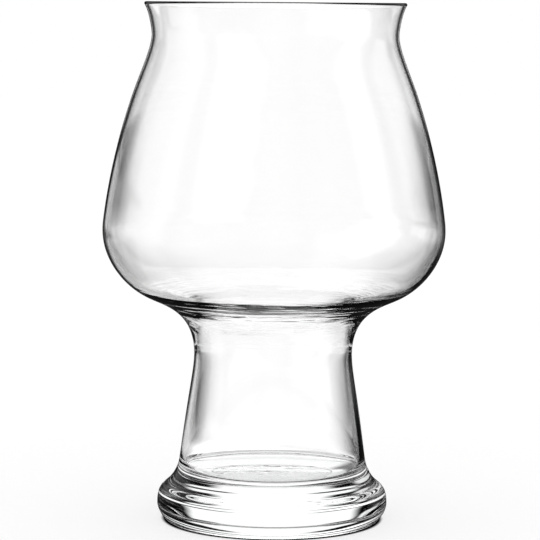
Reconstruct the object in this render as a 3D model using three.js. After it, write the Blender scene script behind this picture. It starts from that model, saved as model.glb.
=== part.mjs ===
// A clear glass for beer or cider: a bulb-shaped bowl with a flared lip, a short hollow stem that is
// open to the bowl, and a thick flared foot. Millimetres, +Z up, standing on z = 0.
import * as THREE from "three";

// Fineness of the facets.
const FACETS_ROUND = 48;
const FACETS_PER_CURVE = 6;
const FACETS_PER_SHORT_CURVE = 3;
const FACETS_OVER_LIP = 4;
const FACETS_UNDER_FOOT = 5;

// Bowl, outside. A lean is in degrees from the vertical, outwards on the way down.
const HEIGHT = 143.2;
const LIP_RADIUS = 35.95;
const LIP_LEAN = -33;
const THROAT_RADIUS = 33.9;
const THROAT_BELOW_RIM = 8.9;
const BULB_RADIUS = 47.3;
const BULB_HEIGHT = 80.6;
const BROW_ABOVE_BULB = 2.75;
const BROW_SETBACK = 0.17;
const BROW_LEAN = 6.96;

// Stem, outside.
const WAIST_RADIUS = 21.9;
const WAIST_HEIGHT = 46.3;
const HEEL_RADIUS = 25.3;
const HEEL_HEIGHT = 21;
const HEEL_LEAN = 7.5;

// Foot, outside and underneath.
const FOOT_RADIUS = 32;
const FOOT_EDGE_HEIGHT = 4.5;
const EDGE_UNDERCUT = 3;
const CONTACT_WIDTH = 3;
const PUNT_DEPTH = 0.5;
const PUNT_FLAT_RADIUS = 15;

// Glass thickness at each level. Under the bulb the inside turns in flatter than the outside,
// which leaves a thicker ledge there.
const LIP_WALL = 1;
const THROAT_WALL = 0.9;
const BULB_WALL = 0.85;
const SHOULDER_WALL = 1.3;
const SHOULDER_INSIDE_LEAN = -72;
const WAIST_WALL = 0.95;
const HEEL_WALL = 1.2;

// Floor of the hollow: a dish that falls from a corner under the stem's wall to a level disc.
const CORNER_RADIUS = 23.3;
const CORNER_HEIGHT = 13.8;
const CORNER_LEAN = -66;
const DISC_EDGE_RADIUS = 16.8;
const DISC_EDGE_HEIGHT = 11.2;
const DISC_EDGE_LEAN = -70;
const DISC_RADIUS = 16;
const DISC_HEIGHT = 11.1;

// Heights of the flat joints where the hot pieces were fused.
const BOWL_JOINT_HEIGHT = 54;
const FOOT_JOINT_HEIGHT = 22.5;

// Guide levels on the long runs. Rise and spread are shares of the way from the level below
// to the level above, in height and in radius.
const TAPER = { rise: 0.745, spread: 0.682, lean: 20.4 };
const SHOULDER = { rise: 0.474, spread: 0.537, lean: -63.9 };
const FLARE = { rise: 0.548, spread: 0.76, lean: 25.6 };

// The lean of an outline that runs level towards the axis.
const INWARDS = -90;

// How far the outline keeps to its heading above and below each level, as shares of the spans.
const REACH = {
  lip: { above: 0, below: 0.22 },
  throat: { above: 0.23, below: 0.23 },
  taper: { above: 0.38, below: 0.26 },
  brow: { above: 0.375, below: 0.315 },
  bulb: { above: 0.31, below: 0.35 },
  shoulder: { above: 0.34, below: 0.24 },
  waist: { above: 0.56, below: 0.18 },
  heel: { above: 0.63, below: 0.71 },
  flare: { above: 0.28, below: 0.55 },
  edge: { above: 0.58, below: 0.34 },
  ring: { above: 0.19, below: 0 },
  shoulderInside: { above: 0.3, below: 0.6 },
  waistInside: { above: 0.5, below: 0.18 },
  heelInside: { above: 0.63, below: 0.75 },
  corner: { above: 0.2, below: 0.33 },
  discEdge: { above: 0.33, below: 0.2 },
  disc: { above: 0.3, below: 0.3 },
};

// A curve with a shorter span than this has fewer facets.
const SHORT_SPAN = 4;

// A level of the outline: the point, and the way the wall heads there as it goes down.
function level(radius, height, lean, reach) {
  const angle = THREE.MathUtils.degToRad(lean);
  return {
    point: new THREE.Vector2(radius, height),
    heading: new THREE.Vector2(Math.sin(angle), -Math.cos(angle)),
    reach,
  };
}

// A guide level part of the way from a lower one to an upper one.
function levelBetween(lower, upper, guide, reach) {
  const radius = THREE.MathUtils.lerp(lower.point.x, upper.point.x, guide.spread);
  const height = THREE.MathUtils.lerp(lower.point.y, upper.point.y, guide.rise);
  return level(radius, height, guide.lean, reach);
}

// The same level moved inwards across the wall.
function inset(outer, wall, reach = outer.reach) {
  const inward = new THREE.Vector2(outer.heading.y, -outer.heading.x);
  const point = outer.point.clone().addScaledVector(inward, wall);
  return { ...outer, point, reach };
}

// The inner shoulder: across the wall from the outer one, but flatter than it.
function insetShoulder(outer) {
  const { point } = inset(outer, SHOULDER_WALL);
  return level(point.x, point.y, SHOULDER_INSIDE_LEAN, REACH.shoulderInside);
}

// The curve from one level down to the next.
function curveBetween(upper, lower) {
  const span = upper.point.distanceTo(lower.point);
  const leaving = upper.point.clone().addScaledVector(upper.heading, upper.reach.below * span);
  const arriving = lower.point.clone().addScaledVector(lower.heading, -lower.reach.above * span);
  return new THREE.CubicBezierCurve(upper.point, leaving, arriving, lower.point);
}

// Points down a run of levels, each shared point once.
function pointsDown(levels) {
  const points = [levels[0].point.clone()];
  for (let i = 1; i < levels.length; i += 1) {
    const span = levels[i - 1].point.distanceTo(levels[i].point);
    const facets = span < SHORT_SPAN ? FACETS_PER_SHORT_CURVE : FACETS_PER_CURVE;
    points.push(...curveBetween(levels[i - 1], levels[i]).getPoints(facets).slice(1));
  }
  return points;
}

// Cuts a run of points at a height into the part above and the part below.
// Both parts hold the point on the cut.
function cutAt(points, height) {
  const next = points.findIndex((point) => point.y < height);
  const upper = points[next - 1];
  const lower = points[next];
  const cut = upper.clone().lerp(lower, (upper.y - height) / (upper.y - lower.y));
  cut.y = height;
  const above = points.slice(0, next).filter((point) => point.y > height);
  return [[...above, cut], [cut.clone(), ...points.slice(next)]];
}

// The named levels of the outside, from the lip down to the ring that touches the table.
function outsideLevels() {
  const lipRadius = LIP_RADIUS - LIP_WALL / 2;
  const lipMiddle = level(lipRadius, HEIGHT - LIP_WALL / 2, LIP_LEAN, REACH.lip);
  const throat = level(THROAT_RADIUS, HEIGHT - THROAT_BELOW_RIM, 0, REACH.throat);
  const bulb = level(BULB_RADIUS, BULB_HEIGHT, 0, REACH.bulb);
  const browHeight = BULB_HEIGHT + BROW_ABOVE_BULB;
  const waist = level(WAIST_RADIUS, WAIST_HEIGHT, 0, REACH.waist);
  const heel = level(HEEL_RADIUS, HEEL_HEIGHT, HEEL_LEAN, REACH.heel);
  const edge = level(FOOT_RADIUS, FOOT_EDGE_HEIGHT, 0, REACH.edge);
  return {
    lip: inset(lipMiddle, -LIP_WALL / 2),
    throat,
    taper: levelBetween(bulb, throat, TAPER, REACH.taper),
    brow: level(BULB_RADIUS - BROW_SETBACK, browHeight, BROW_LEAN, REACH.brow),
    bulb,
    shoulder: levelBetween(waist, bulb, SHOULDER, REACH.shoulder),
    waist,
    heel,
    flare: levelBetween(edge, heel, FLARE, REACH.flare),
    edge,
    ring: level(FOOT_RADIUS - EDGE_UNDERCUT, 0, INWARDS, REACH.ring),
  };
}

// The levels of the inside, from the lip down to the middle of the floor.
function insideLevels(outside) {
  return [
    inset(outside.lip, LIP_WALL),
    inset(outside.throat, THROAT_WALL),
    inset(outside.taper, BULB_WALL),
    inset(outside.brow, BULB_WALL),
    inset(outside.bulb, BULB_WALL),
    insetShoulder(outside.shoulder),
    inset(outside.waist, WAIST_WALL, REACH.waistInside),
    inset(outside.heel, HEEL_WALL, REACH.heelInside),
    level(CORNER_RADIUS, CORNER_HEIGHT, CORNER_LEAN, REACH.corner),
    level(DISC_EDGE_RADIUS, DISC_EDGE_HEIGHT, DISC_EDGE_LEAN, REACH.discEdge),
    level(DISC_RADIUS, DISC_HEIGHT, INWARDS, REACH.disc),
    level(0, DISC_HEIGHT, INWARDS, REACH.disc),
  ];
}

// The lip's fire-polished half round, from the inner face over to the outer face.
function overTheLip(inner, outer) {
  const middle = inner.clone().lerp(outer, 0.5);
  const start = Math.atan2(inner.y - middle.y, inner.x - middle.x);
  const arc = new THREE.EllipseCurve(
    middle.x,
    middle.y,
    LIP_WALL / 2,
    LIP_WALL / 2,
    start,
    start - Math.PI,
    true,
  );
  return arc.getPoints(FACETS_OVER_LIP).slice(1, -1);
}

// The underside from the ring's outer edge to the middle: the flat ring, a gentle slope up, and the
// level middle of the punt.
function underTheFoot(ring) {
  const puntRadius = ring.x - CONTACT_WIDTH;
  const halfway = (puntRadius + PUNT_FLAT_RADIUS) / 2;
  const slope = new THREE.CubicBezierCurve(
    new THREE.Vector2(puntRadius, 0),
    new THREE.Vector2(halfway, 0),
    new THREE.Vector2(halfway, PUNT_DEPTH),
    new THREE.Vector2(PUNT_FLAT_RADIUS, PUNT_DEPTH),
  );
  return [...slope.getPoints(FACETS_UNDER_FOOT), new THREE.Vector2(0, PUNT_DEPTH)];
}

// Clear, colourless, polished glass.
function clearGlass() {
  return new THREE.MeshStandardMaterial({
    color: 0xdfe9e6,
    roughness: 0.05,
    metalness: 0,
    transparent: true,
    opacity: 0.35,
  });
}

// Turns a profile of radius and height around the upright axis.
function turned(name, profile) {
  const geometry = new THREE.LatheGeometry(profile, FACETS_ROUND);
  geometry.rotateX(Math.PI / 2);
  const mesh = new THREE.Mesh(geometry, clearGlass());
  mesh.name = name;
  return mesh;
}

// A closed profile through a piece of wall: up its outer face and down its inner face.
function wallProfile(outer, inner, top) {
  const loop = [...outer.slice().reverse(), ...top, ...inner];
  loop.push(loop[0].clone());
  return loop;
}

function buildGlass() {
  const levels = outsideLevels();
  const [bowlOutside, restOutside] = cutAt(pointsDown(Object.values(levels)), BOWL_JOINT_HEIGHT);
  const [bowlInside, restInside] = cutAt(pointsDown(insideLevels(levels)), BOWL_JOINT_HEIGHT);
  const [stemOutside, footOutside] = cutAt(restOutside, FOOT_JOINT_HEIGHT);
  const [stemInside, footInside] = cutAt(restInside, FOOT_JOINT_HEIGHT);
  const lip = overTheLip(bowlInside[0], bowlOutside[0]).reverse();
  const underside = underTheFoot(levels.ring.point);

  const glass = new THREE.Group();
  glass.add(turned("bowl", wallProfile(bowlOutside, bowlInside, lip)));
  glass.add(turned("stem", wallProfile(stemOutside, stemInside, [])));
  glass.add(turned("foot", [...underside.reverse(), ...footOutside.reverse(), ...footInside]));
  return glass;
}

export default buildGlass();
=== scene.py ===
# %% [markdown]
# # A clear glass for beer or cider
# The glass is one fused piece: a thin bowl with a flared lip, a short hollow stem and a thick foot.
# The CAD model is the fixed frame. It gives the size and the place, and stays for collision.
# Here the same outline becomes one closed skin of glass, because light bends at every surface: a
# joint left inside the glass would show as a line.

# %% Load the frame
import math

import bpy
import numpy as np
from mathutils import Matrix


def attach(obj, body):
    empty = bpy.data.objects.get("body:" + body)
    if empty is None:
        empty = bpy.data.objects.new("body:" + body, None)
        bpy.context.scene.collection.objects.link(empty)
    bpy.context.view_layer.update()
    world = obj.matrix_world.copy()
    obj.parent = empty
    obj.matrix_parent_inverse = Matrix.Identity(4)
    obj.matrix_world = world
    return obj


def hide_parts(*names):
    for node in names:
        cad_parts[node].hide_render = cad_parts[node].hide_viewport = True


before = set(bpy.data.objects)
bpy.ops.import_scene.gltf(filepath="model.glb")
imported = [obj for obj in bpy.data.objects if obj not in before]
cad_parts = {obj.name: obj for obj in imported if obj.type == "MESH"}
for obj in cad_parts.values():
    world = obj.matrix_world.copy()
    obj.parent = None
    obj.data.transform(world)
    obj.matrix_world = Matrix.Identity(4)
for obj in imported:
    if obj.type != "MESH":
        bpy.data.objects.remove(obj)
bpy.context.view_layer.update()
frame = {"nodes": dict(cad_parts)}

print("CAD nodes:", ", ".join(frame["nodes"]))

# %% [markdown]
# ## The outline
# A blown glass takes its outside from a mould, so the mould's outline says nearly everything. It
# is given by a few levels: how wide the glass is there, how high, and which way its wall heads.
# Few levels keep the outline fair, as a mould maker's would be.

# %% Levels of the outside
MM = 0.001
LIP_WALL = 1.0

# Radius, height, lean of the wall in degrees outwards on the way down, then how far the curve
# keeps that lean above and below the level, as shares of the straight spans.
OUTSIDE = np.array([
    (35.45, 142.70, -33.0, 0.00, 0.22),  # lip, at the middle of its wall
    (33.90, 134.30, 0.0, 0.23, 0.23),  # throat
    (38.16, 120.60, 20.4, 0.38, 0.26),  # taper
    (47.13, 83.35, 6.96, 0.375, 0.315),  # brow, where the straight taper ends
    (47.30, 80.60, 0.0, 0.31, 0.35),  # bulb
    (35.54, 62.57, -63.9, 0.34, 0.24),  # shoulder
    (21.90, 46.30, 0.0, 0.56, 0.18),  # waist
    (25.30, 21.00, 7.5, 0.63, 0.71),  # heel
    (26.91, 13.54, 25.6, 0.28, 0.55),  # flare
    (32.00, 4.50, 0.0, 0.58, 0.34),  # edge of the foot
    (29.00, 0.00, -90.0, 0.19, 0.00),  # outside of the ring that touches the table
])
LEAN, ABOVE, BELOW = 2, 3, 4  # columns of the table
SHOULDER, WAIST, HEEL = 5, 6, 7  # rows of it
print("levels:", len(OUTSIDE), "widest:", 2 * OUTSIDE[:, 0].max(), "mm")

# %% [markdown]
# ## Curves from level to level
# A cubic Bezier curve leaves one level and arrives at the next, and each of its two handles lies
# along the wall's own heading. So two curves that meet at a level share its heading, and the
# outline has no corner there, as glass from a smooth mould has none. Many small steps down each
# curve keep the reflections clean.

# %% Curves down the levels
STEPS = 22


def headings(levels):
    """The unit vector down the wall at each level: sine of the lean outwards, cosine downwards."""
    lean = np.radians(levels[:, LEAN])
    return np.stack([np.sin(lean), -np.cos(lean)], axis=1)


def outline(levels, steps):
    """Points down the levels, as cubic Bezier curves.

    Each curve leaves its upper level along the heading there and arrives along the heading of the
    lower one. A handle is as long as the level's reach times the straight span.
    """
    points, way = levels[:, :2], headings(levels)
    start, end = points[:-1], points[1:]
    span = np.linalg.norm(end - start, axis=1)[:, None]
    leaving = start + way[:-1] * levels[:-1, BELOW, None] * span
    arriving = end - way[1:] * levels[1:, ABOVE, None] * span
    t = (np.arange(steps) / steps)[None, :, None]
    corners = [p[:, None, :] for p in (start, leaving, arriving, end)]
    weights = [(1 - t) ** 3, 3 * (1 - t) ** 2 * t, 3 * (1 - t) * t**2, t**3]
    curve = sum(w * c for w, c in zip(weights, corners))
    return np.vstack([curve.reshape(-1, 2), points[-1:]])


way_down = np.linalg.norm(np.diff(outline(OUTSIDE, STEPS), axis=0), axis=1).sum()
print("way down the outside:", round(way_down, 1), "mm")

# %% [markdown]
# ## Both faces of the wall
# The inside isn't moulded. The wall is thin at the lip and in the bulb, where the gather was blown
# out most, and thick in the shoulder, the heel and the foot. So the inside follows the outside at
# a distance that changes from level to level, and ends in a floor with a rounded corner.

# %% Levels of the inside
WALLS = [LIP_WALL, 0.9, 0.85, 0.85, 0.85, 1.3, 0.95, 1.2]  # from the lip to the heel
FLOOR = np.array([
    (23.3, 13.80, -66.0, 0.20, 0.33),  # corner of the floor
    (16.8, 11.20, -70.0, 0.33, 0.20),  # edge of the level disc
    (16.0, 11.10, -90.0, 0.30, 0.30),  # the disc
    (0.0, 11.10, -90.0, 0.30, 0.00),  # its middle
])


def inset(levels, wall):
    """The levels moved at right angles to their headings, by a wall's thickness each."""
    way = headings(levels)
    moved = levels.copy()
    moved[:, :2] += np.stack([way[:, 1], -way[:, 0]], axis=1) * np.asarray(wall)[:, None]
    return moved


outside = OUTSIDE.copy()
outside[:1] = inset(OUTSIDE[:1], [-LIP_WALL / 2])
inside = np.vstack([inset(outside[:len(WALLS)], WALLS), FLOOR])
inside[SHOULDER, LEAN:] = -72.0, 0.30, 0.60  # flatter than the outside, which leaves a ledge
inside[WAIST, ABOVE] = 0.50
inside[HEEL, BELOW] = 0.75  # the corner of the floor turns late

outer_face, inner_face = outline(outside, STEPS), outline(inside, STEPS)
print("outside points:", len(outer_face), "inside points:", len(inner_face))

# %% [markdown]
# ## The lip
# The lip is melted round by a flame after the glass is cut to height. So a half circle, as wide as
# the wall, joins the two faces over the top.

# %% Over the lip
LIP_STEPS = 10


def half_round(inner, outer, steps):
    """A half circle from the inner face to the outer face, over the top.

    The arm from the middle to the inner face is turned by each share of half a turn: its parts
    times the cosine, and its parts at a right angle times the sine.
    """
    middle, arm = (inner + outer) / 2, (inner - outer) / 2
    turn = -math.pi * np.arange(1, steps) / steps
    across = np.stack([arm[0] * np.cos(turn) - arm[1] * np.sin(turn),
                       arm[0] * np.sin(turn) + arm[1] * np.cos(turn)], axis=1)
    return middle + across


lip = half_round(inner_face[0], outer_face[0], LIP_STEPS)
print("top of the lip:", round(lip[:, 1].max(), 2), "mm")

# %% [markdown]
# ## The underside
# Under the foot a very shallow hollow, the punt, keeps the middle off the table, so that the glass
# stands on a flat ring and doesn't rock.

# %% Under the foot
CONTACT_WIDTH = 3.0
PUNT_FLAT_RADIUS = 15.0
PUNT_DEPTH = 0.5
PUNT_STEPS = 26


def punt(ring_radius, contact, flat_radius, depth, steps):
    """From the ring's outer edge to the axis: flat across the ring, a gentle slope, then level.

    The slope is a smooth step, 3 t squared less 2 t cubed, of the share t of the way up it.
    """
    radius = (ring_radius - contact) * (1 - np.arange(steps + 1) / steps)
    climb = np.clip((radius[0] - radius) / (radius[0] - flat_radius), 0, 1)
    return np.stack([radius, depth * climb**2 * (3 - 2 * climb)], axis=1)


underside = punt(outer_face[-1, 0], CONTACT_WIDTH, PUNT_FLAT_RADIUS, PUNT_DEPTH, PUNT_STEPS)
profile = np.vstack([inner_face[::-1], lip, outer_face, underside]) * MM
print("profile points:", len(profile))

# %% [markdown]
# ## One skin of glass
# Turning the profile round the axis gives the whole glass, inside and out, as one closed mesh. It
# takes the place of the three CAD solids in the looks.

# %% Turn the profile
AROUND = 192


def turned_mesh(name, profile, around):
    """A surface of two parameters, the way along the profile and the angle about the axis.

    x and y are the radius times the cosine and the sine of the angle. The profile starts and ends
    on the axis, where a fan of triangles closes the mesh at one point.
    """
    angle = np.linspace(0, 2 * math.pi, around, endpoint=False)
    radius, height = profile[1:-1, :1], profile[1:-1, 1:]
    x, y = radius * np.cos(angle), radius * np.sin(angle)
    z = np.broadcast_to(height, x.shape)
    ends = [[0, 0, profile[0, 1]], [0, 0, profile[-1, 1]]]
    points = np.vstack([np.stack([x, y, z], axis=2).reshape(-1, 3), ends])

    rows = len(profile) - 2
    here = np.arange(around)
    there = (here + 1) % around
    row = np.arange(rows - 1)[:, None] * around
    quads = np.stack([row + here, row + around + here, row + around + there, row + there], axis=2)
    last = (rows - 1) * around
    first_pole, last_pole = rows * around, rows * around + 1
    fans = np.vstack([
        np.stack([np.full(around, first_pole), here, there], axis=1),
        np.stack([np.full(around, last_pole), last + there, last + here], axis=1),
    ])
    mesh = bpy.data.meshes.new(name)
    mesh.from_pydata(points, [], quads.reshape(-1, 4).tolist() + fans.tolist())
    mesh.polygons.foreach_set("use_smooth", np.ones(len(mesh.polygons), dtype=bool))
    mesh.update()
    return mesh


glass = bpy.data.objects.new("glass_skin", turned_mesh("glass_skin", profile, AROUND))
bpy.context.scene.collection.objects.link(glass)
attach(glass, "root")
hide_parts("bowl", "stem", "foot")
print("faces of the glass:", len(glass.data.polygons))

# %% [markdown]
# ## A check by weight
# A closed mesh has a volume, and glass has a known density. If the mass comes out near that of
# such a glass on a scale, the wall is about right. A volume below zero would mean that the faces
# point inwards.

# %% Volume and mass
GLASS_DENSITY = 2500.0  # kilograms to a cubic metre


def volume_of(mesh):
    """Volume of a closed mesh: a sixth of the sum of its triangles' triple products."""
    mesh.calc_loop_triangles()
    corners = np.empty(len(mesh.loop_triangles) * 3, dtype=np.int32)
    mesh.loop_triangles.foreach_get("vertices", corners)
    points = np.empty(len(mesh.vertices) * 3)
    mesh.vertices.foreach_get("co", points)
    a, b, c = points.reshape(-1, 3)[corners.reshape(-1, 3)].transpose(1, 0, 2)
    return float(np.einsum("ij,ij->i", a, np.cross(b, c)).sum() / 6)


volume = volume_of(glass.data)
print("glass:", round(volume * 1e6, 2), "ml,", round(volume * GLASS_DENSITY * 1000, 1), "g")

# %% [markdown]
# ## Shader maths as plain expressions
# A material is a graph of nodes, and long graphs are hard to read as a list of links. Wrapping a
# socket in a small class lets the graph be written as arithmetic: each operator adds one Math node,
# and one method adds any other node.


# %% A socket that does arithmetic
class Wire:
    """One output of a node. Its operators add Math nodes."""

    def __init__(self, graph, socket):
        self.graph, self.socket = graph, socket

    def __add__(self, other):
        return self.graph.maths("ADD", self, other)

    def __sub__(self, other):
        return self.graph.maths("SUBTRACT", self, other)

    def __rsub__(self, other):
        return self.graph.maths("SUBTRACT", other, self)

    def __mul__(self, other):
        return self.graph.maths("MULTIPLY", self, other)

    def __truediv__(self, other):
        return self.graph.maths("DIVIDE", self, other)

    def __rtruediv__(self, other):
        return self.graph.maths("DIVIDE", other, self)

    __radd__, __rmul__ = __add__, __mul__


class Graph:
    """A node graph, emptied, to which nodes are added one call at a time."""

    def __init__(self, owner):
        owner.use_nodes = True
        self.tree = owner.node_tree
        self.tree.nodes.clear()

    def node(self, kind, settings=None, inputs=None, out=0):
        """Adds a node: its settings first, then the values or Wires of its inputs."""
        made = self.tree.nodes.new(kind)
        for key, value in (settings or {}).items():
            setattr(made, key, value)
        for key, value in (inputs or {}).items():
            if isinstance(value, Wire):
                self.tree.links.new(value.socket, made.inputs[key])
            else:
                made.inputs[key].default_value = value
        return Wire(self, made.outputs[out]) if made.outputs else None

    def maths(self, operation, *values):
        """A Math node of any operation, on values that may be Wires or numbers."""
        return self.node("ShaderNodeMath", {"operation": operation}, dict(enumerate(values)))


clear_glass = bpy.data.materials.new("clear_glass")
graph = Graph(clear_glass)
print("an empty graph for", clear_glass.name, "with", len(graph.tree.nodes), "nodes")

# %% [markdown]
# ## Edges that fade
# Nothing on glass or in a studio's light ends as sharply as a step from 0 to 1, so every edge here
# is a smooth step. Three small helpers say what changes where.


# %% Smooth steps
def smooth(value, edge, low, high):
    """A smooth step of a value, from low at the edge's start to high at its end.

    It is 3 t squared less 2 t cubed, of the share t of the way across the edge.
    """
    start, end = edge
    return value.graph.node("ShaderNodeMapRange", {"interpolation_type": "SMOOTHSTEP"}, {
        "Value": value, "From Min": start, "From Max": end, "To Min": low, "To Max": high,
    })


def between(value, rising, falling):
    """1 between two edges and 0 outside them: a step up times a step down."""
    return smooth(value, rising, 0.0, 1.0) * smooth(value, falling, 1.0, 0.0)


def blend(share, low, high):
    """From low to high by a share: low, plus the share times the difference."""
    return low + share * (high - low)


print("helpers:", ", ".join(helper.__name__ for helper in (smooth, between, blend)))

# %% [markdown]
# ## Where on the glass a finish is
# The glass is round, so its marks run round it. Its places are given as a direction about the
# axis, a radius and a height, all from the mesh's own Object coordinates, so that the marks stay on
# the glass when it moves. A direction is kept as a cosine and a sine, because an angle would jump
# at one side and leave a seam there.

# %% Round coordinates
SMALLEST_RADIUS = 1e-5  # keeps the radius above 0, so that it can divide


def round_places(graph):
    """The cosine and sine of a place's direction, its radius and its height.

    The radius is the root of x squared plus y squared, and the cosine and sine are x and y over it.
    """
    place = graph.node("ShaderNodeTexCoord", out="Object")
    x, y, height = (graph.node("ShaderNodeSeparateXYZ", None, {0: place}, axis) for axis in "XYZ")
    radius = graph.maths("MAXIMUM", graph.maths("SQRT", x * x + y * y), SMALLEST_RADIUS)
    return x / radius, y / radius, radius, height


cosine, sine, radius, height = round_places(graph)
x, y = cosine * radius, sine * radius
print("nodes for the places:", len(graph.tree.nodes))

# %% [markdown]
# ## Waves in the skin
# Blown glass is never quite even. Its skin chills in the mould first, and faint waves stay all over
# it. Ripples run round the shoulder, where the wall was stretched over the ledge, and flow marks
# stay on the floor of the hollow. They break up what shows through the glass and don't show in its
# outline, so a Bump node tilts the surface for them, which costs no points. Each is soft noise with
# a height in millimetres and so many waves to a metre.

# %% Waves, ripples and flow marks
ALL_OVER = (0.008, 90.0)
FOOT_WAVES = (0.03, 60.0)
FLOOR_MARKS = (1.0, 150.0)
RIPPLE_HEIGHT, RIPPLES_DOWN = 0.35, 420.0
RIPPLES_AROUND = 1.6  # waves to a radius, so few that each ripple runs far round
DOWN_SHOULDER = (0.93, 0.36)  # the way down the shoulder, across and upright


def clouds(x, y, z, detail=2.0):
    """Soft noise between 0 and 1 at a place whose unit is one wave."""
    place = x.graph.node("ShaderNodeCombineXYZ", None, {0: x, 1: y, 2: z})
    return x.graph.node("ShaderNodeTexNoise", {"noise_dimensions": "3D"}, {
        "Vector": place, "Scale": 1.0, "Detail": detail, "Roughness": 0.5,
    })


def waves(size, count):
    """Waves of one height, so many to a metre in all directions."""
    return size * clouds(x * count, y * count, height * count)


down = (radius * DOWN_SHOULDER[0] + height * DOWN_SHOULDER[1]) * RIPPLES_DOWN
ripples = RIPPLE_HEIGHT * clouds(cosine * RIPPLES_AROUND, sine * RIPPLES_AROUND, down)
print("nodes with the ripples:", len(graph.tree.nodes))

# %% [markdown]
# ## Where each kind of wave is
# Masks between heights or radii, in metres, keep the ripples on the shoulder, the flow marks on the
# disc in the hollow, and the strongest of the common waves in the foot, where the glass is thick.

# %% Masks and relief
SHOULDER_BAND = ((0.053, 0.057), (0.061, 0.067))
DISC_EDGE = (0.0165, 0.0175)
DISC_BAND = ((0.0105, 0.0109), (0.0115, 0.0122))
FOOT_TOP = (0.012, 0.018)

on_shoulder = between(height, *SHOULDER_BAND)
on_floor = smooth(radius, DISC_EDGE, 1.0, 0.0) * between(height, *DISC_BAND)
on_foot = smooth(height, FOOT_TOP, 1.0, 0.0)
relief = (waves(*ALL_OVER) + on_foot * waves(*FOOT_WAVES)
          + on_floor * waves(*FLOOR_MARKS) + on_shoulder * ripples)
print("nodes with the relief:", len(graph.tree.nodes))

# %% [markdown]
# ## Clear glass
# Soda-lime glass has a refractive index of 1.52 and almost no colour, a trace of green where it is
# thick. A Principled shader with full transmission is such a glass. Its skin is smooth, apart from
# the faintest wipe marks of a cloth, which only change the roughness.

# %% The glass material
WHITE = (1.0, 1.0, 1.0, 1.0)
THICK_TINT = (0.972, 0.984, 0.978, 1.0)
WIPES_ASIDE, WIPES_UP, WIPE_DETAIL = 60.0, 25.0, 4.0
WIPE_EDGE, WIPE_ROUGHNESS = (0.55, 0.8), 0.02

tint = graph.node("ShaderNodeMix", {"data_type": "RGBA"}, {
    "Factor": on_foot, 6: WHITE, 7: THICK_TINT,
}, 2)
wipe_marks = clouds(x * WIPES_ASIDE, y * WIPES_ASIDE, height * WIPES_UP, WIPE_DETAIL)
bump = graph.node("ShaderNodeBump", None, {"Strength": 1.0, "Distance": MM, "Height": relief})
surface = graph.node("ShaderNodeBsdfPrincipled", None, {
    "Base Color": tint,
    "Roughness": smooth(wipe_marks, WIPE_EDGE, 0.0, WIPE_ROUGHNESS),
    "IOR": 1.52,
    "Transmission Weight": 1.0,
    "Normal": bump,
})
graph.node("ShaderNodeOutputMaterial", None, {"Surface": surface})
glass.data.materials.append(clear_glass)
print("nodes in the glass material:", len(graph.tree.nodes))

# %% [markdown]
# ## Bright-field light
# Clear glass shows what stands behind it. Photographers light it from a white panel with dark on
# both sides: the middle of the glass shows the panel, and the edges, which bend light sideways,
# show the dark, so that the outline is drawn in black. Here one panel stands behind the glass as
# the photograph sees it, and one to its left, for a look from the right. Two dim ones stand
# opposite. A direction is an angle in degrees about the upright axis, from +X towards +Y.

# %% Directions of the panels
BACK_PANEL, SIDE_PANEL = (90,), (180,)
MAIN_PANELS = BACK_PANEL + SIDE_PANEL
SPARE_PANELS = (0, 270)
PANEL_LIGHT, SPARE_LIGHT = 1.15, 0.15


def bearing(place):
    """The angle of a place or a direction about the upright axis, in radians."""
    x, y = (place.graph.node("ShaderNodeSeparateXYZ", None, {0: place}, axis) for axis in "XY")
    return place.graph.maths("ARCTAN2", y, x)


def off_panels(angle, directions):
    """The angle from the nearest of a list of directions, which are in degrees.

    The difference is wrapped into the half turn on either side, and its sign dropped.
    """
    maths, nearest = angle.graph.maths, None
    for degrees in directions:
        gap = maths("ABSOLUTE", maths("WRAP", angle - math.radians(degrees), math.pi, -math.pi))
        nearest = gap if nearest is None else maths("MINIMUM", nearest, gap)
    return nearest


print("bright panels at", MAIN_PANELS, "and dim ones at", SPARE_PANELS, "degrees")

# %% [markdown]
# ## How a panel ends
# The soft edge of a panel is given by two angles off its middle. The same function lights the far
# studio, the table and the cards, so that the panels line up wherever a ray ends. What the skin
# mirrors is a light of its own, dim all round, so that no panel shows a second time.

# %% Light of the panels
MIRROR_EDGE = (17, 34)
MIRROR_DARK, MIRROR_LIGHT = 0.02, 0.3


def near_to(angle, directions, edge, near, beyond=0.0, spread=0.0):
    """One value near some directions and another beyond them, with a smooth step between.

    The step runs over the edge, two angles in degrees off the nearest direction, and the spread
    moves both of them outwards, in radians.
    """
    start, end = (math.radians(degrees) for degrees in edge)
    return smooth(off_panels(angle, directions) - spread, (start, end), near, beyond)


def panel_light(angle, edge, spread=0.0):
    """The light of the bright panels plus that of the dim ones."""
    return (near_to(angle, MAIN_PANELS, edge, PANEL_LIGHT, spread=spread)
            + near_to(angle, SPARE_PANELS, edge, SPARE_LIGHT, spread=spread))


def mirror_light(angle):
    """What the skin mirrors: nearly dark towards the panels, and dim between them."""
    return near_to(angle, MAIN_PANELS + SPARE_PANELS, MIRROR_EDGE, MIRROR_DARK, MIRROR_LIGHT)


print("mirrored light:", MIRROR_DARK, "towards a panel and", MIRROR_LIGHT, "between two")

# %% [markdown]
# ## The studio
# The panels are for the glass only. A Light Path node knows what has happened to a ray: one that
# has been through the glass sees the panels and the dark between them, one that the skin mirrored
# sees the mirror's light, and every other ray sees plain white. So the background stays white, and
# the object is lit at a plain level.

# %% The world
FAR_EDGE = (9, 17)
RISE, WIDER = (0.02, 0.06), math.radians(22)  # the panel behind widens just above the horizon
CEILING = (0.46, 0.58)  # where the panels end, as the height of a direction of length 1


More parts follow.
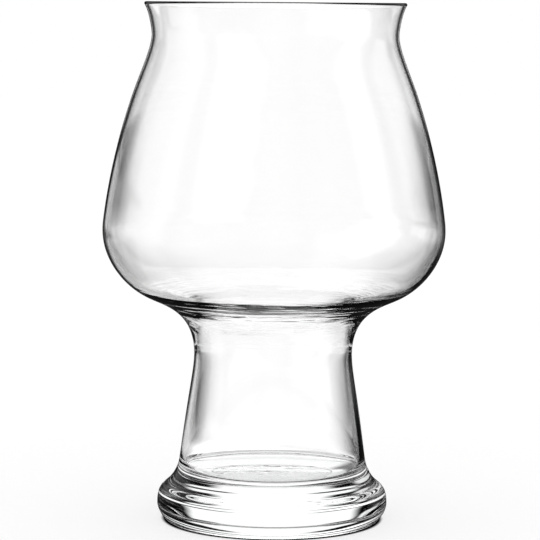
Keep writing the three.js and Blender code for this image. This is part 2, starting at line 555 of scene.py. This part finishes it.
def bent_and_mirrored(graph):
    """Two flags of a ray from the glass: it has been through the glass, or was only mirrored.

    Both are 0 for a ray that a matt surface has scattered.
    """
    polished = graph.node("ShaderNodeLightPath", out="Is Glossy Ray")
    through = graph.maths("MINIMUM", graph.node("ShaderNodeLightPath", out="Transmission Depth"), 1.0)
    scattered = graph.maths("MINIMUM", graph.node("ShaderNodeLightPath", out="Diffuse Depth"), 1.0)
    direct = polished * (1 - scattered)
    return direct * through, direct * (1 - through)


studio = bpy.data.worlds.new("studio")
bpy.context.scene.world = studio
graph = Graph(studio)
way = graph.node("ShaderNodeTexCoord", out="Generated")
up = graph.node("ShaderNodeSeparateXYZ", None, {0: way}, "Z")
angle = bearing(way)
wider = smooth(up, RISE, 0.0, WIDER)
panels = (near_to(angle, BACK_PANEL, FAR_EDGE, PANEL_LIGHT, spread=wider)
          + near_to(angle, SIDE_PANEL, FAR_EDGE, PANEL_LIGHT)
          + near_to(angle, SPARE_PANELS, FAR_EDGE, SPARE_LIGHT)) * smooth(up, CEILING, 1.0, 0.0)
bent, mirrored = bent_and_mirrored(graph)
light = 1 - bent * (1 - panels) - mirrored * (1 - mirror_light(angle))
sky = graph.node("ShaderNodeBackground", None, {"Color": WHITE, "Strength": light})
graph.node("ShaderNodeOutputWorld", None, {"Surface": sky})
print("nodes in the world:", len(graph.tree.nodes))

# %% [markdown]
# ## The table
# A white table takes the soft shadow of the foot. One flat face is enough, large enough that its
# end is never seen.

# %% The table top
TABLE_SIZE = 6.0

half = TABLE_SIZE / 2
table = bpy.data.meshes.new("table_top")
table.from_pydata(
    [(-half, -half, 0), (half, -half, 0), (half, half, 0), (-half, half, 0)],
    [],
    [(0, 1, 2, 3)],
)
floor = bpy.data.objects.new("table_top", table)
bpy.context.scene.collection.objects.link(floor)
print("table:", TABLE_SIZE, "m square")

# %% [markdown]
# ## The panels on the table
# The stem and the foot bend light down, so through them the table is what shows. The panels go on
# across it as bright strips. Near the glass a strip has a width in metres, and further out it has
# the panel's own angle. Two more strips run out between the panels, behind on the left and in
# front on the right, for a look from the opposite corner. The one behind ends early, because
# further out it would light the outline that the photograph shows dark on its left.

# %% Strips of light
NEAR_EDGE, STRIP_HALF = (0.5, 13), 0.020
FADE = (0.25, 0.7)  # from the near strips to the far ones
FRONT_CORNER, BACK_CORNER = (315,), (135,)
CORNER_NEAR_EDGE, CORNER_HALF, CORNER_NEAR_LIGHT = (5, 18), 0.030, 0.9
CORNER_FAR_EDGE, CORNER_LIGHT = (14, 27), 0.95
BACK_CORNER_END = (0.46, 0.60)

white_table = bpy.data.materials.new("white_table")
graph = Graph(white_table)
place = graph.node("ShaderNodeTexCoord", out="Object")
far = graph.node("ShaderNodeVectorMath", {"operation": "LENGTH"}, {0: place}, "Value")
angle = bearing(place)
distant = smooth(far, FADE, 0.0, 1.0)


def corner_strip(direction):
    """A strip at a corner, whose half width over its distance widens it by that angle."""
    return near_to(angle, direction, CORNER_NEAR_EDGE, CORNER_NEAR_LIGHT, spread=CORNER_HALF / far)


near_strips = panel_light(angle, NEAR_EDGE, STRIP_HALF / far) + corner_strip(FRONT_CORNER)
far_strips = (panel_light(angle, FAR_EDGE)
              + near_to(angle, FRONT_CORNER, CORNER_FAR_EDGE, CORNER_LIGHT))
back_strip = corner_strip(BACK_CORNER) * smooth(far, BACK_CORNER_END, 1.0, 0.0)
strips = blend(distant, near_strips, far_strips) + back_strip
print("nodes for the strips:", len(graph.tree.nodes))

# %% [markdown]
# ## Close to the foot
# Through the thick foot the table is seen right under and beside it. It is light inside the ring
# that the glass stands on, and light on the panels' side of the foot. A painted contact shadow
# darkens the table where the glass touches it, and through the glass a wider band of painted shade on
# the viewer's side of it draws the foot's lower edge.

# %% Light and painted shade at the foot
UNDER, UNDER_LIGHT = (0.024, 0.028), 0.75
BESIDE, BEHIND_EDGE = (0.034, 0.042), (42, 60)
# Radii of the painted contact shadow: a thin dark ring on the table where the glass stands.
PAINTED_SHADOW_START, PAINTED_SHADOW_END = (0.0275, 0.0285), (0.0300, 0.0312)
# Where the painted shade on the viewer's side of the foot lies: its direction, its edge and its outer
# radii.
VIEWER, VIEWER_EDGE, OUTLINE_END = (270,), (80, 120), (0.050, 0.060)

behind = near_to(angle, MAIN_PANELS, BEHIND_EDGE, PANEL_LIGHT)
close_by = blend(smooth(far, UNDER, 1.0, 0.0), behind, UNDER_LIGHT)
strips = blend(smooth(far, BESIDE, 0.0, 1.0), close_by, strips)
# Painted shade, seen only through the glass: a dark band on the table on the viewer's side, from the
# contact ring outwards, which draws the foot's lower edge.
in_front = near_to(angle, VIEWER, VIEWER_EDGE, 1.0)
painted_front_shade = 1 - in_front * between(far, PAINTED_SHADOW_START, OUTLINE_END)
# 1 off the painted contact shadow ring and 0 on it; to the camera it darkens the table there.
off_painted_shadow = 1 - between(far, PAINTED_SHADOW_START, PAINTED_SHADOW_END)
mirror = blend(distant, MIRROR_DARK, mirror_light(angle))
print("dark contact line from", PAINTED_SHADOW_START[0], "to", PAINTED_SHADOW_END[1], "m")

# %% [markdown]
# ## The table's surface
# To the camera the table is matt white, lifted by a little light of its own so that it fades into
# the white behind it, with a painted contact shadow, a thin dark ring, where the glass stands. Rays
# from the glass see the strips instead: a Mix Shader picks between the two by the flags that the
# world reads too.

# %% The table's material
TABLE_WHITE = 0.35
TABLE_LIFT = 0.66

bent, mirrored = bent_and_mirrored(graph)
# The painted contact shadow darkens both the matt white and the lift below.
white = off_painted_shadow * TABLE_WHITE
shade = graph.node("ShaderNodeCombineColor", None, {0: white, 1: white, 2: white})
matt = graph.node("ShaderNodeBsdfDiffuse", None, {"Color": shade})
first = graph.node("ShaderNodeLightPath", out="Is Camera Ray")
lift = graph.node("ShaderNodeEmission", None, {"Strength": first * off_painted_shadow * TABLE_LIFT})
plain = graph.node("ShaderNodeAddShader", None, {0: matt, 1: lift})
light = bent * strips * painted_front_shade + mirrored * mirror
shown = graph.node("ShaderNodeEmission", None, {"Strength": light})
top = graph.node("ShaderNodeMixShader", None, {0: bent + mirrored, 1: plain, 2: shown})
graph.node("ShaderNodeOutputMaterial", None, {"Surface": top})
floor.data.materials.append(white_table)
print("nodes in the table's material:", len(graph.tree.nodes))

# %% [markdown]
# ## Flags
# Dark cards beside a panel, called flags, draw the edges of the neck and of the waist, which bend
# light upwards past the table. They stand 0.2 m out, in a ring around the glass, and only light
# that has been through the glass can see them: the panels are white in the ring, and the rest of
# it is flags. Its lower and upper edges fade, so that neither shows as a line in the glass.


# %% A ring of flags
def ring_mesh(name, radius, bottom, top, around=96):
    """An upright band: the radius times the cosine and sine of each angle, at two heights."""
    turn = np.linspace(0, 2 * math.pi, around, endpoint=False)
    circle = np.column_stack([np.cos(turn), np.sin(turn)]) * radius
    low, high = (np.column_stack([circle, np.full(around, z)]) for z in (bottom, top))
    here = np.arange(around)
    there = (here + 1) % around
    faces = np.column_stack([here, there, there + around, here + around])
    mesh = bpy.data.meshes.new(name)
    mesh.from_pydata(np.vstack([low, high]).tolist(), [], faces.tolist())
    return mesh


def flag_ring(name, radius, bottom, top, fade_in, fade_out, edge, corners=()):
    """A ring that shows panels and flags to light from the glass, and is clear otherwise.

    It fades in over one height from the bottom and fades out over another below the top. Each of
    the corners is a direction and an edge, and adds the light of a corner there.
    """
    ring = bpy.data.objects.new(name, ring_mesh(name, radius, bottom, top))
    bpy.context.scene.collection.objects.link(ring)
    card = bpy.data.materials.new(name)
    graph = Graph(card)
    place = graph.node("ShaderNodeTexCoord", out="Object")
    height = graph.node("ShaderNodeSeparateXYZ", None, {0: place}, "Z")
    angle = bearing(place)
    light = panel_light(angle, edge)
    for direction, corner_edge in corners:
        light = light + near_to(angle, direction, corner_edge, CORNER_LIGHT)
    bent, _ = bent_and_mirrored(graph)
    there = between(height, (bottom, bottom + fade_in), (top - fade_out, top))
    clear = graph.node("ShaderNodeBsdfTransparent")
    shown = graph.node("ShaderNodeEmission", None, {"Strength": light})
    both = graph.node("ShaderNodeMixShader", None, {0: bent * there, 1: clear, 2: shown})
    graph.node("ShaderNodeOutputMaterial", None, {"Surface": both})
    ring.data.materials.append(card)
    print(name, "from", bottom, "to", top, "m, nodes:", len(graph.tree.nodes))


flag_ring("neck_flags", radius=0.20, bottom=0.108, top=0.40, fade_in=0.01, fade_out=0.02,
          edge=(20, 29))
flag_ring("waist_flags", radius=0.21, bottom=0.059, top=0.112, fade_in=0.016, fade_out=0.01,
          edge=(14, 22), corners=((FRONT_CORNER, (14, 24)), (BACK_CORNER, (8, 15))))

# %% [markdown]
# ## The camera
# The rim shows as a thin line and the foot a little from above, so the lens stood at the height of
# the rim, and the curves of the foot put it about 0.7 m away. The focal length was found in pixels.
# In millimetres it is that, over the image's width in pixels, times the sensor's width.

# %% Camera
CAMERA_DISTANCE = 0.680
CAMERA_HEIGHT = 0.143
CAMERA_ASIDE = -0.00102
PITCH, ROLL = 6.17, 0.45  # degrees
FOCAL_PIXELS, IMAGE_PIXELS = 2471.6, 540
SENSOR = 36.0
NEAREST, FARTHEST = 0.01, 100.0

lens = bpy.data.cameras.new("camera")
lens.sensor_width = SENSOR
lens.lens = FOCAL_PIXELS / IMAGE_PIXELS * SENSOR
lens.clip_start, lens.clip_end = NEAREST, FARTHEST
camera = bpy.data.objects.new("camera", lens)
bpy.context.scene.collection.objects.link(camera)
camera.location = (CAMERA_ASIDE, -CAMERA_DISTANCE, CAMERA_HEIGHT)
look_down = Matrix.Rotation(math.radians(90 - PITCH), 3, "X")
lean_over = Matrix.Rotation(math.radians(ROLL), 3, "Z")
camera.rotation_euler = (look_down @ lean_over).to_euler()
bpy.context.scene.camera = camera
bpy.context.scene.view_settings.view_transform = "Standard"
print("lens:", round(lens.lens, 1), "mm")
